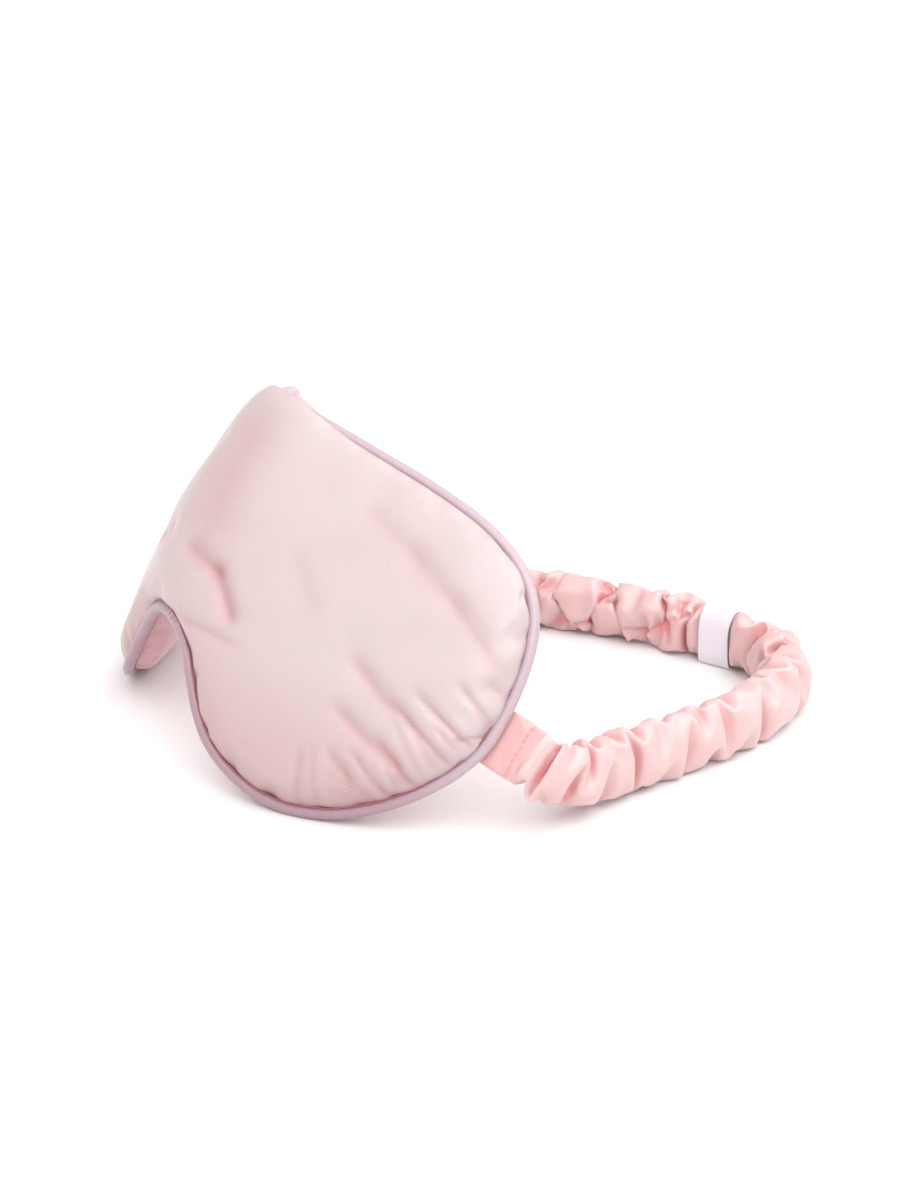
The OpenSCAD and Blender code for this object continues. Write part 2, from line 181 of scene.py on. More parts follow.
def satin(name, colour, deep, roughness, glow=0.12):
    """Satin: painted shade that deepens its colour in the folds, a fine slubby weave, soft highlights."""
    material, nodes, links, shader = new_material(name, colour, roughness)
    shader.inputs["Sheen Weight"].default_value = 0.25
    shader.inputs["Sheen Roughness"].default_value = 0.35
    shader.inputs["Sheen Tint"].default_value = (1.0, 0.93, 0.93, 1)
    shader.inputs["IOR"].default_value = 1.6
    shader.inputs["Specular IOR Level"].default_value = 0.75
    shader.inputs["Subsurface Weight"].default_value = glow
    shader.inputs["Subsurface Scale"].default_value = 0.003
    shader.inputs["Subsurface Radius"].default_value = (1.0, 0.5, 0.45)
    coords = nodes.new("ShaderNodeTexCoord")
    fold = nodes.new("ShaderNodeAttribute")
    fold.attribute_name = "fold"
    cloud = nodes.new("ShaderNodeTexNoise")
    cloud.inputs["Scale"].default_value = 38
    cloud.inputs["Detail"].default_value = 3
    links.new(coords.outputs["Object"], cloud.inputs["Vector"])
    grain = nodes.new("ShaderNodeTexNoise")
    grain.inputs["Scale"].default_value = 900
    grain.inputs["Detail"].default_value = 2
    stretch = nodes.new("ShaderNodeMapping")
    stretch.inputs["Scale"].default_value = (1, 1, 0.45)
    links.new(coords.outputs["Object"], stretch.inputs["Vector"])
    links.new(stretch.outputs["Vector"], grain.inputs["Vector"])
    # depth of colour = painted shade carried by each point of the mesh (deepest in folds and creases) + a
    # little unevenness in the dye + the weave's grain
    dye_and_shade = nodes.new("ShaderNodeMath")
    dye_and_shade.operation = "MULTIPLY_ADD"
    dye_and_shade.inputs[1].default_value = 0.12
    links.new(cloud.outputs["Fac"], dye_and_shade.inputs[0])
    links.new(fold.outputs["Fac"], dye_and_shade.inputs[2])
    grain_dye_and_shade = nodes.new("ShaderNodeMath")
    grain_dye_and_shade.operation = "MULTIPLY_ADD"
    grain_dye_and_shade.inputs[1].default_value = 0.09
    links.new(grain.outputs["Fac"], grain_dye_and_shade.inputs[0])
    links.new(dye_and_shade.outputs[0], grain_dye_and_shade.inputs[2])
    mix = nodes.new("ShaderNodeMix")
    mix.data_type = "RGBA"
    mix.clamp_factor = True
    mix.inputs["A"].default_value = (*colour, 1)
    mix.inputs["B"].default_value = (*deep, 1)
    links.new(grain_dye_and_shade.outputs[0], mix.inputs["Factor"])
    links.new(mix.outputs["Result"], shader.inputs["Base Color"])
    # the weave shows in the gloss and as a very fine relief
    gloss = nodes.new("ShaderNodeMapRange")
    gloss.inputs["To Min"].default_value = roughness - 0.06
    gloss.inputs["To Max"].default_value = roughness + 0.1
    links.new(grain.outputs["Fac"], gloss.inputs["Value"])
    links.new(gloss.outputs["Result"], shader.inputs["Roughness"])
    bump = nodes.new("ShaderNodeBump")
    bump.inputs["Strength"].default_value = 0.09
    bump.inputs["Distance"].default_value = 0.0006
    links.new(grain.outputs["Fac"], bump.inputs["Height"])
    links.new(bump.outputs["Normal"], shader.inputs["Normal"])
    return material


def plain_cloth(name, colour, dark, roughness, scale, bump_mm, bands=False):
    """Matt cloth, thread, wadding or ribbon: two tones, and a relief of noise or of ribs."""
    material, nodes, links, shader = new_material(name, colour, roughness)
    shader.inputs["Sheen Weight"].default_value = 0.3
    coords = nodes.new("ShaderNodeTexCoord")
    if bands:
        pattern = nodes.new("ShaderNodeTexWave")
        pattern.bands_direction = "DIAGONAL"
        pattern.inputs["Distortion"].default_value = 1.5
    else:
        pattern = nodes.new("ShaderNodeTexNoise")
        pattern.inputs["Detail"].default_value = 4
    pattern.inputs["Scale"].default_value = scale
    links.new(coords.outputs["Object"], pattern.inputs["Vector"])
    mix = nodes.new("ShaderNodeMix")
    mix.data_type = "RGBA"
    mix.inputs["A"].default_value = (*colour, 1)
    mix.inputs["B"].default_value = (*dark, 1)
    links.new(pattern.outputs["Fac"], mix.inputs["Factor"])
    links.new(mix.outputs["Result"], shader.inputs["Base Color"])
    bump = nodes.new("ShaderNodeBump")
    bump.inputs["Strength"].default_value = 0.5
    bump.inputs["Distance"].default_value = bump_mm * MM
    links.new(pattern.outputs["Fac"], bump.inputs["Height"])
    links.new(bump.outputs["Normal"], shader.inputs["Normal"])
    return material


# ---------------------------------------------------------------- mask shape
def bezier(a, b, c, d, t):
    t = np.asarray(t, float)[..., None]
    a, b, c, d = (np.array(p, float) for p in (a, b, c, d))
    return a * (1 - t) ** 3 + 3 * b * t * (1 - t) ** 2 + 3 * c * t ** 2 * (1 - t) + d * t ** 3


def ease(t):
    """0 up to t = 0 and 1 from t = 1 on, with a smooth rise between."""
    t = np.clip(t, 0, 1)
    return t * t * (3 - 2 * t)


def unit(v):
    return v / np.maximum(np.linalg.norm(v, axis=-1, keepdims=True), 1e-12)


def brow_edge(t):
    """The outline from the middle of the brow to the right temple, in the flat mask."""
    return bezier((0, BROW_HEIGHT), (BROW_REACH, BROW_HEIGHT),
                  (HALF_WIDTH, TEMPLE_HEIGHT + TEMPLE_UP), (HALF_WIDTH, TEMPLE_HEIGHT), t)


def cheek_edge(t):
    """The outline from the top of the nose notch to the right temple, in the flat mask."""
    t = np.asarray(t, float)
    low = (CHEEK_OUT, -NOTCH_DEPTH)
    inner = bezier((0, 0), (NOTCH_REACH, 0), (CHEEK_OUT - CHEEK_TO_NOTCH, -NOTCH_DEPTH), low, 2 * t)
    outer = bezier(low, (CHEEK_OUT + CHEEK_TO_TEMPLE, -NOTCH_DEPTH),
                   (HALF_WIDTH, TEMPLE_HEIGHT - TEMPLE_DOWN), (HALF_WIDTH, TEMPLE_HEIGHT), 2 * t - 1)
    return np.where((t < 0.5)[..., None], inner, outer)


def inset(edge, t, d, turn):
    """A point of an edge moved into the mask; turn is +1 along the brow and -1 along the cheek."""
    step = unit(edge(np.asarray(t) + 0.002) - edge(np.asarray(t) - 0.002)) * turn
    return edge(t) + d * np.stack([step[..., 1], -step[..., 0]], -1)


def on_mask(s, f, h):
    """The place in the part's frame of a point of the flat mask; h is towards the front."""
    s, f, h = np.broadcast_arrays(np.asarray(s, float), np.asarray(f, float), np.asarray(h, float))
    bent = np.minimum(np.abs(s), FOLD_RADIUS * FOLD_ANGLE)
    straight = np.abs(s) - bent
    turn = bent / FOLD_RADIUS
    x = FOLD_RADIUS * np.sin(turn) + straight * np.cos(turn) + h * np.sin(turn)
    y = FOLD_RADIUS * (1 - np.cos(turn)) + straight * np.sin(turn) - h * np.cos(turn)
    place = np.stack([np.sign(s) * x, y * math.cos(LEAN) + f * math.sin(LEAN),
                      f * math.cos(LEAN) - y * math.sin(LEAN)], -1)
    return place + NOSE


def edge_loop(count):
    """Evenly spaced points of the outline, the way into the mask there, and how far along it each is."""
    brow = brow_edge(np.linspace(0, 1, 400))
    cheek = cheek_edge(np.linspace(1, 0, 400))[1:]
    half = np.concatenate([brow, cheek])
    left = half[::-1][1:-1] * np.array([-1, 1])
    loop = np.concatenate([half, left, half[:1]])
    run = np.concatenate([[0], np.cumsum(np.linalg.norm(np.diff(loop, axis=0), axis=1))])
    at = np.linspace(0, run[-1], count, endpoint=False)
    points = np.stack([np.interp(at, run, loop[:, i]) for i in (0, 1)], -1)
    step = unit(np.roll(points, -1, 0) - np.roll(points, 1, 0))
    return points, np.stack([step[:, 1], -step[:, 0]], -1), at


# ---------------------------------------------------------------- meshes
def link_object(name, verts, faces, material, fold=None):
    """A smooth mesh object from points in millimetres, with an optional painted shade at each point that
    deepens its colour.
    """
    mesh = bpy.data.meshes.new(name)
    mesh.from_pydata([tuple(v) for v in np.asarray(verts, float) * MM], [], [tuple(f) for f in faces])
    mesh.validate()
    if fold is not None:
        attribute = mesh.attributes.new("fold", "FLOAT", "POINT")
        attribute.data.foreach_set("value", np.asarray(fold, np.float32))
    mesh.polygons.foreach_set("use_smooth", [True] * len(mesh.polygons))
    mesh.materials.append(material)
    mesh.update()
    obj = bpy.data.objects.new(name, mesh)
    bpy.context.scene.collection.objects.link(obj)
    return obj


def grid_faces(rows, columns, wrap_rows=False, wrap_columns=False, start=0, flip=False):
    """The faces of a grid of points, numbered row by row from start."""
    faces = []
    for i in range(rows if wrap_rows else rows - 1):
        for j in range(columns if wrap_columns else columns - 1):
            a = i * columns + j
            b = i * columns + (j + 1) % columns
            c = ((i + 1) % rows) * columns + (j + 1) % columns
            d = ((i + 1) % rows) * columns + j
            face = (a, d, c, b) if flip else (a, b, c, d)
            faces.append(tuple(v + start for v in face))
    return faces


def end_caps(rings, sides):
    """The two faces that close the ends of an open tube of rings."""
    return [tuple(range(sides - 1, -1, -1)), tuple((rings - 1) * sides + j for j in range(sides))]


def face_outwards(shape, obj):
    """Turns the faces of a shape outwards and writes it to its object."""
    bmesh.ops.recalc_face_normals(shape, faces=shape.faces)
    shape.to_mesh(obj.data)
    shape.free()


def weld(obj, distance):
    """Joins the points that meet, drops the faces that this closes, and turns the rest outwards."""
    shape = bmesh.new()
    shape.from_mesh(obj.data)
    bmesh.ops.remove_doubles(shape, verts=shape.verts, dist=distance * MM)
    bmesh.ops.dissolve_degenerate(shape, edges=shape.edges, dist=1e-7)
    face_outwards(shape, obj)
    obj.data.polygons.foreach_set("use_smooth", [True] * len(obj.data.polygons))
    obj.data.update()


def two_sided(name, top, low, material, values=None):
    """A closed piece between two grids of points with the same layout, with values at its points."""
    columns, rows = top.shape[:2]
    count = columns * rows
    verts = np.concatenate([top.reshape(-1, 3), low.reshape(-1, 3)])
    faces = grid_faces(columns, rows) + grid_faces(columns, rows, start=count, flip=True)
    rim = [i * rows for i in range(columns)]
    rim += [(columns - 1) * rows + j for j in range(1, rows)]
    rim += [i * rows + rows - 1 for i in range(columns - 2, -1, -1)]
    rim += [j for j in range(rows - 2, 0, -1)]
    for i, a in enumerate(rim):
        b = rim[(i + 1) % len(rim)]
        faces.append((a, a + count, b + count, b))
    obj = link_object(name, verts, faces, material, fold=np.zeros(2 * count))
    for label, value in (values or {}).items():
        attribute = obj.data.attributes.new(label, "FLOAT", "POINT")
        attribute.data.foreach_set("value", np.tile(value.ravel(), 2).astype(np.float32))
    weld(obj, 0.02)
    return obj


def tube(name, centres, across, up, section, material, closed, fold=None):
    """A tube through rings: section gives each ring's points as (across, up) distances."""
    rings = centres[:, None] + across[:, None] * section[..., :1] + up[:, None] * section[..., 1:]
    count, sides = rings.shape[:2]
    faces = grid_faces(count, sides, wrap_rows=closed, wrap_columns=True)
    if not closed:
        faces += end_caps(count, sides)
    obj = link_object(name, rings.reshape(-1, 3), faces, material, fold=fold)
    shape = bmesh.new()
    shape.from_mesh(obj.data)
    face_outwards(shape, obj)
    return obj


def boxy(wave, power):
    """A sine or cosine pushed outwards, which turns a circle into a rounded rectangle."""
    return np.sign(wave) * np.abs(wave) ** power


def smooth_noise(points, scale, seed):
    """Perlin noise at each point: points are in millimetres, and scale is the wavelength."""
    shift = Vector((seed * 17.3, seed * 5.1, seed * 9.7))
    flat = np.asarray(points, float).reshape(-1, np.shape(points)[-1])
    if flat.shape[1] == 2:
        flat = np.concatenate([flat, np.zeros((len(flat), 1))], 1)
    values = [noise.noise(Vector(p) / scale + shift) for p in flat.tolist()]
    return np.array(values).reshape(np.shape(points)[:-1])


def settle(points, faces, hold, target, pull_in, frames, bending, pressure):
    """Cloth simulation: the held points travel from points to target, and the cloth buckles.

    The cloth keeps the lengths that it starts with. A point's hold runs from 0, free, to 1, fixed.
    The journey ends at frame pull_in, and the cloth has until frame frames to come to rest.
    """
    # the solver works on a model whose unit is 10 mm
    scale = 0.1
    mesh = bpy.data.meshes.new("cloth")
    mesh.from_pydata([tuple(p) for p in points * scale], [], faces)
    cloth_obj = bpy.data.objects.new("cloth", mesh)
    scene = bpy.context.scene
    scene.collection.objects.link(cloth_obj)
    group = cloth_obj.vertex_groups.new(name="hold")
    for weight in np.unique(hold):
        group.add([int(i) for i in np.flatnonzero(hold == weight)], float(weight), "REPLACE")
    cloth_obj.shape_key_add(name="Basis")
    key = cloth_obj.shape_key_add(name="target", from_mix=False)
    key.data.foreach_set("co", (target * scale).astype(np.float32).ravel())
    key.value = 0
    key.keyframe_insert("value", frame=1)
    key.value = 1
    key.keyframe_insert("value", frame=pull_in)
    modifier = cloth_obj.modifiers.new("cloth", "CLOTH")
    cloth = modifier.settings
    cloth.bending_stiffness = bending
    cloth.vertex_group_mass = "hold"
    cloth.pin_stiffness = 1.0
    cloth.effector_weights.gravity = 0
    cloth.use_pressure = True
    cloth.uniform_pressure_force = pressure
    modifier.collision_settings.use_collision = False
    modifier.collision_settings.use_self_collision = False
    modifier.point_cache.frame_start = 1
    modifier.point_cache.frame_end = frames
    for step in range(1, frames + 1):
        scene.frame_set(step)
    shown = cloth_obj.evaluated_get(bpy.context.evaluated_depsgraph_get())
    settled = np.empty(len(points) * 3, np.float32)
    shown.data.vertices.foreach_get("co", settled)
    scene.frame_set(1)
    bpy.data.objects.remove(cloth_obj)
    return settled.reshape(-1, 3).astype(float) / scale


def refine(obj):
    """One level of Catmull-Clark subdivision, applied to the mesh."""
    modifier = obj.modifiers.new("refine", "SUBSURF")
    modifier.levels = 1
    shown = obj.evaluated_get(bpy.context.evaluated_depsgraph_get())
    mesh = bpy.data.meshes.new_from_object(shown)
    obj.modifiers.remove(modifier)
    coarse = obj.data
    obj.data = mesh
    mesh.name = obj.name
    bpy.data.meshes.remove(coarse)


# ---------------------------------------------------------------- panels
COLUMNS, ROWS = 150, 58
# how far the panels' cloth reaches into the seam, and the height from cheek to brow that puffs fully
PANEL_EDGE = SEAM - 0.3
FULL_SPAN = 70
# how far the puffed cloth hangs over the piping: everywhere, more towards the brow, and more at its peak
HANG, BROW_HANG, PEAK_HANG = 0.3, 2.3, 1.7
CLOTH_THICK = 0.45
# the free cloth's hold on its target, its roughness before it settles, and the most that it may move
PANEL_HOLD, PANEL_ROUGHNESS, PANEL_MOVE = 0.22, 0.35, 1.6
# what keeps the wadding clear of the cloth above it and of the lining below it
FILL_CLEAR, FILL_BASE = 1.6, 0.35
# creases of the front and the back, each from one place (s, f) of the flat mask to another, with its
# half width and depth; s is the way across from the fold, and f the way up from the nose notch
FRONT_CREASES = [
    ((5, 21), (15, 19.5), 3.0, 1.3), ((15, 19.5), (25, 11), 2.8, 1.7), ((9, 3.5), (28, 5.2), 1.6, 0.7),
    ((80, 15.5), (97, 10.5), 1.2, 1.2), ((64, 19), (79, 14), 2.4, 1.0), ((66, 6.5), (83, 2.5), 2.2, 1.0),
    ((80, 5.5), (94, 0), 1.3, 1.1), ((92, 28.5), (101, 25), 1.3, 0.8), ((97, 33), (102, 32), 1.6, 0.6),
    ((70, -4), (84, -9), 1.6, 0.8), ((3, 58), (7, 28), 8.0, 0.8),
    ((45, 54), (62, 50), 4.2, 0.5), ((62, 50), (79, 45), 3.6, 0.7), ((79, 45), (98, 37), 3.0, 0.6),
    ((84, 21), (100, 17), 1.2, 0.9), ((76, -1), (89, -6), 1.1, 0.9), ((34, 33), (46, 24), 3.6, 0.3),
    ((-6, 22), (-16, 17), 3.4, 1.3), ((-60, 15), (-72, 12), 3.4, 0.9), ((-84, 12), (-93, 9), 1.4, 0.9),
    ((-80, 2), (-90, -4), 1.6, 0.8), ((-9, 50), (-18, 40), 5.0, 0.7),
]
BACK_CREASES = [
    ((4, 30), (5, 52), 4.0, 1.2), ((-4, 28), (-5, 50), 4.0, 1.2), ((10, 10), (24, 4), 2.4, 0.9),
    ((-10, 10), (-24, 4), 2.4, 0.9), ((86, 14), (95, 10), 1.7, 0.9), ((-85, 16), (-95, 12), 1.7, 0.9),
    ((80, 30), (92, 33), 2.2, 0.6), ((-80, 32), (-91, 35), 2.2, 0.6), ((66, 2), (78, -6), 2.6, 0.7),
    ((-64, 3), (-78, -4), 2.6, 0.7),
]


def seam_creases(count, seed):
    """Short fine creases that fan in from the seam below each temple."""
    dice = random.Random(seed)
    lines = []
    for side in (1, -1):
        for i in range(count):
            t = 0.58 + 0.40 * (i + dice.random()) / count
            reaches = (1.5, dice.uniform(7, 15))
            start, end = (inset(cheek_edge, t, SEAM + reach, -1) * (side, 1) for reach in reaches)
            width = dice.uniform(0.6, 1.0)
            depth = dice.uniform(0.25, 0.6)
            lines.append((start, end, width, depth))
    return lines


def crease_depth(s, f, creases):
    """Sum of soft valleys along short lines, each fading at its two ends."""
    total = np.zeros_like(s)
    for (s0, f0), (s1, f1), width, depth in creases:
        along = np.array([s1 - s0, f1 - f0], float)
        length = np.hypot(*along)
        along /= length
        t = (s - s0) * along[0] + (f - f0) * along[1]
        off = (s - s0) * along[1] - (f - f0) * along[0]
        fade = ease((t + 0.35 * length) / (0.5 * length)) * ease((1.35 * length - t) / (0.5 * length))
        total += depth * fade * np.exp(-np.abs(off / width) ** 1.6)
    return total


def panel_grid(puff):
    """Points of a puffed panel: flat places and heights above the middle of the mask."""
    across = np.linspace(-1, 1, COLUMNS)
    u = np.abs(across) ** 1.25 * 0.9996
    rows = np.linspace(0, 1, ROWS)
    low = inset(cheek_edge, u, PANEL_EDGE, -1)[:, None]
    high = inset(brow_edge, u, PANEL_EDGE, 1)[:, None]
    v = ((1 - np.cos(math.pi * rows)) / 2)[None, :, None]
    flat = low + (high - low) * v
    s = flat[..., 0] * np.sign(across)[:, None]
    f = flat[..., 1]
    full = np.sqrt(np.minimum(1, np.linalg.norm(high - low, axis=-1) / FULL_SPAN))
    dome = full * np.sin(math.pi * rows)[None] ** 0.85
    height = puff * dome + RIM_HEIGHT * ease(dome * 9)
    # just above the seam the puffed cloth hangs outwards over the piping
    away = unit(flat - (low + high) / 2)
    at_peak = np.exp(-((s - 2) / 16) ** 2) * ease((f - 40) / 20)
    hang = HANG + BROW_HANG * ease((f - 5) / 25) + PEAK_HANG * at_peak
    hang = hang * ease((height - 0.5) / 1.4) * np.exp(-((height - 2.4) / 2.4) ** 2)
    s = s + np.sign(across)[:, None] * away[..., 0] * hang
    f = f + away[..., 1] * hang
    return s, f, height


def settle_panel(s, f, h, side, slack, seed):
    """The panel's cloth, cut a little larger than its outline, settles over the wadding."""
    hold = np.full(s.shape, PANEL_HOLD)
    for rim in (np.s_[0, :], np.s_[-1, :], np.s_[:, 0], np.s_[:, -1]):
        hold[rim] = 1.0
    target = on_mask(s, f, side * h)
    loose = on_mask(s * slack, f * slack, side * h)
    rough = smooth_noise(target, 5, seed)[..., None] * PANEL_ROUGHNESS * (hold < 1)[..., None]
    loose = loose + rough * (on_mask(s, f, side) - on_mask(s, f, 0))
    faces = grid_faces(*s.shape, flip=side > 0)
    cloth = settle(loose.reshape(-1, 3), faces, hold.ravel(), target.reshape(-1, 3),
                   pull_in=10, frames=20, bending=4.0, pressure=0.45)
    moved = cloth.reshape(target.shape) - target
    reach = np.linalg.norm(moved, axis=-1, keepdims=True)
    return target + moved * np.minimum(1, PANEL_MOVE / np.maximum(reach, 1e-6))


def crease_panel(panel, side, creases, seed):
    """Presses the creases, broad folds and seam puckers into the finished mesh."""
    mesh = panel.data
    count = len(mesh.vertices)
    s, f, h = (np.empty(count, np.float32) for _ in range(3))
    for name, values in (("flat_s", s), ("flat_f", f), ("height", h)):
        mesh.attributes[name].data.foreach_get("value", values)
    place = np.empty(count * 3, np.float32)
    mesh.vertices.foreach_get("co", place)
    out = unit(on_mask(s, f, side * (h + 1)) - on_mask(s, f, side * h))
    # the panel's own relief starts a little above its seam
    rise = ease(h / 3.0)
    flat = np.stack([s, f], -1)
    broad = smooth_noise(np.stack([(s + f) * 0.55, (f - s) * 1.5], -1), 26, seed) * 0.55
    broad += smooth_noise(flat, 12, seed + 1) * 0.25
    near_seam = np.exp(-((h - 2.0) / 1.6) ** 2) * ease(h / 1.5)
    pucker = smooth_noise(flat, 3.6, seed + 2) * near_seam * 0.5
    valleys = crease_depth(s, f, creases) * rise
    place = place.reshape(-1, 3) + out * ((broad * rise + pucker - valleys) * MM)[:, None]
    mesh.vertices.foreach_set("co", place.astype(np.float32).ravel())
    # painted shade: the colour is deeper low down on the panel, in the creases and puckers, and close to
    # the seam
    painted_low_shade = ease((18 - f) / 34) * (0.2 + 0.3 * np.exp(-(h / 5) ** 2))
    fold = painted_low_shade + valleys * 0.34 + np.clip(-pucker, 0, 1) * 0.5 + 0.3 * np.exp(-h ** 2)
    mesh.attributes["fold"].data.foreach_set("value", np.clip(fold, 0, 1).astype(np.float32))
    for name in ("flat_s", "flat_f", "height"):
        mesh.attributes.remove(mesh.attributes[name])
    mesh.update()


def make_panels():
    for name, node, puff, side, creases, material, slack, seed in (
        ("front_satin_panel", "front_panel", FRONT_PUFF, 1, FRONT_CREASES + seam_creases(13, 5),
         FRONT_SATIN, 1.015, 3),
        ("back_satin_panel", "back_panel", BACK_PUFF, -1, BACK_CREASES + seam_creases(10, 9),
         BACK_SATIN, 1.03, 8),
    ):
        s, f, h = panel_grid(puff)
        skin = settle_panel(s, f, h, side, slack, seed)
        inward = on_mask(s, f, 0) - on_mask(s, f, side)
        values = {"flat_s": s, "flat_f": f, "height": h}
        panel = two_sided(name, skin, skin + inward * CLOTH_THICK, material, values)
        refine(panel)
        crease_panel(panel, side, creases, seed)
        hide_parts(node)
        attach(panel, "mask")
        # the wadding fills the panel below its creases, and stops short of the seam all round
        inner = np.s_[5:-5, 9:-9]
        depth = crease_depth(s, f, creases)[..., None] + FILL_CLEAR
        base = on_mask(s, f, side * FILL_BASE)
        top = skin + inward * np.minimum(depth, h[..., None] * 0.6)
        word = "front" if side > 0 else "back"
        fill = two_sided(word + "_fill", top[inner], base[inner], WADDING)
        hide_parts(word + "_wadding")
        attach(fill, "mask")


# ---------------------------------------------------------------- piping and its seam
# the stitched line: how far in from the outline, how far from the middle of the mask, how thick
DITCH_IN, DITCH_HEIGHT, THREAD_R = SEAM - 0.35, 1.35, 0.26


def edge_frame(points, into, depth, height=0.0):
    """Places along the outline, and the outward and frontward directions there."""
    at = points + into * depth
    centre = on_mask(at[:, 0], at[:, 1], height)
    outward = unit(on_mask(at[:, 0] - into[:, 0] * 0.5, at[:, 1] - into[:, 1] * 0.5, height) - centre)
    front = unit(on_mask(at[:, 0], at[:, 1], height + 1.0) - centre)
    return centre, outward, front


def make_piping():
    """The piping's cover, wrinkled where it bends sharply, and the stitched line on both sides of it."""
    count, sides = 1100, 20
    points, into, run = edge_loop(count)
    centre, outward, front = edge_frame(points, into, PIPING_R)
    angle = np.linspace(0, 2 * math.pi, sides, endpoint=False)
    circle = np.stack([np.cos(angle), np.sin(angle)], -1)
    in_notch = np.exp(-(np.hypot(points[:, 0], points[:, 1]) / 9) ** 2)
    at_brow = np.exp(-(np.hypot(points[:, 0], points[:, 1] - BROW_HEIGHT) / 12) ** 2)
    wrinkle = in_notch * 0.12 + at_brow * 0.03 + 0.012
    ripple = wrinkle[:, None] * np.sin(run[:, None] * 2 * math.pi / 1.7 + 2.4 * np.sin(angle)[None])
    surface = np.stack(np.broadcast_arrays(run[:, None], 2.2 * angle[None]), -1)
    swell = smooth_noise(surface, 6.0, 21) * 0.05
    radius = PIPING_R * (0.985 + ripple * 0.6 + swell)
    section = circle[None] * radius[..., None]
    # painted shade: the cover's colour deepens towards the bottom of the mask and in the valleys of its
    # wrinkles
    painted_low_shade = 0.45 * ease((14 - points[:, 1]) / 30)[:, None]
    fold = painted_low_shade + np.clip(-ripple * 6, 0, 1) * 0.5
    piping = tube("satin_piping", centre, outward, front, section, PIPING_SATIN, True, fold.ravel())
    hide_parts("piping_cover")
    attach(piping, "mask")
    # the dark stitched line in the ditch on each side of the piping
    verts, faces = [], []
    for side, seed in ((1, 31), (-1, 32)):
        wave = smooth_noise(np.stack([run, run * 0], -1), 3.0, seed) * 0.3
        centre, outward, front = edge_frame(points, into, DITCH_IN, side * DITCH_HEIGHT)
        centre = centre - outward * wave[:, None]
        rings = centre[:, None] + outward[:, None] * circle[None, ::2, :1] * THREAD_R
        rings = rings + front[:, None] * circle[None, ::2, 1:] * THREAD_R
        faces += grid_faces(count, sides // 2, True, True, start=len(verts))
        verts += list(rings.reshape(-1, 3))
    seam = link_object("seam_stitching", verts, faces, THREAD)
    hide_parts("edge_thread")
    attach(seam, "mask")


# ---------------------------------------------------------------- strap
def lean_back(v):
    """A direction of the upright mask, after the mask leans back."""
    x, y, z = v
    return np.array([x, y * math.cos(LEAN) + z * math.sin(LEAN), z * math.cos(LEAN) - y * math.sin(LEAN)])


ALONG_LOBE = lean_back((math.cos(FOLD_ANGLE), math.sin(FOLD_ANGLE), 0))
TO_BACK = lean_back((-math.sin(FOLD_ANGLE), math.cos(FOLD_ANGLE), 0))
UP_MASK = lean_back((0, 0, 1))
# a place or direction times this is its mirror on the left side
OTHER_SIDE = np.array([-1, 1, 1])
TEMPLE = on_mask(HALF_WIDTH, TEMPLE_HEIGHT, 0)
# the strap grows from its tab's section to its own over this length
FULL_AFTER = 30
STRAP_START = TEMPLE + (TAB_REACH + 0.3) * ALONG_LOBE + (TAB_BACK + TAB_THICK / 2) * TO_BACK


def strap_curve(step):
    """Evenly spaced points along the strap's route from the right tab, with its sides and ups.

    The last value runs from 0, where the strap is as flat as its tab, to 1, where it is full.
    """
    route = np.array([STRAP_START, *ROUTE_MIDDLE, STRAP_START * OTHER_SIDE])
    padded = np.concatenate([[2 * route[0] - route[1]], route, [2 * route[-1] - route[-2]]])
    dense = []
    for i in range(1, len(padded) - 2):
        a, b, c, d = padded[i - 1:i + 3]
        # a Catmull-Rom curve through the points
        for t in np.arange(0, 1, 1 / 24):
            dense.append((2 * b + (c - a) * t + (2 * a - 5 * b + 4 * c - d) * t ** 2
                          + (3 * b - a - 3 * c + d) * t ** 3) / 2)
    dense = np.array(dense + [route[-1]])
    run = np.concatenate([[0], np.cumsum(np.linalg.norm(np.diff(dense, axis=0), axis=1))])
    at = np.linspace(0, run[-1], int(run[-1] / step))
    centre = np.stack([np.interp(at, run, dense[:, i]) for i in range(3)], -1)
    ahead = unit(np.gradient(centre, axis=0))
    full = ease(np.minimum(at, run[-1] - at) / FULL_AFTER)[:, None]
    tab_way = np.where((at < run[-1] / 2)[:, None], ALONG_LOBE, -ALONG_LOBE * OTHER_SIDE)
    ahead = unit(tab_way * (1 - full) + ahead * full)
    up = UP_MASK * (1 - full) + np.array([0, 0, 1]) * full
    up = unit(up - (up * ahead).sum(-1, keepdims=True) * ahead)
    side = np.cross(ahead, up)
    return at, centre, side, up, full[:, 0]


# distances from the right tab along the strap: the label's middle and the strap's bulkiest turn
LABEL_AT, TURN_AT = 155.3, 118
LABEL_HALF = 6.0
# how much longer the cloth is than the strap, at distances from the right tab
GATHER_AT = [0, 14, 28, 60, 95, 112, 126, 144, 170, 250, 290, 316]
GATHER = [1.7, 1.6, 1.3, 1.18, 1.2, 1.45, 1.8, 1.9, 1.42, 1.42, 1.5, 1.6]
# the tube's own seam: where it comes into sight, the length of its waves, their swing in radians,
# and the share of the strap's thickness that the elastic pulls it in to
SEAM_FROM, SEAM_PITCH, SEAM_WAVE, SEAM_CAUGHT = 166.0, 27.0, 0.42, 0.62
# the hold of free cloth and of the seam on the strap's outline, and the cloth's gap from the elastic
STRAP_HOLD, SEAM_HOLD, ELASTIC_GAP = 0.3, 0.62, 0.75
# no fold lies lower than the first height, and folds flatten softly below the second
FOLD_FLOOR, FOLD_SOFT = 0.15, 1.6


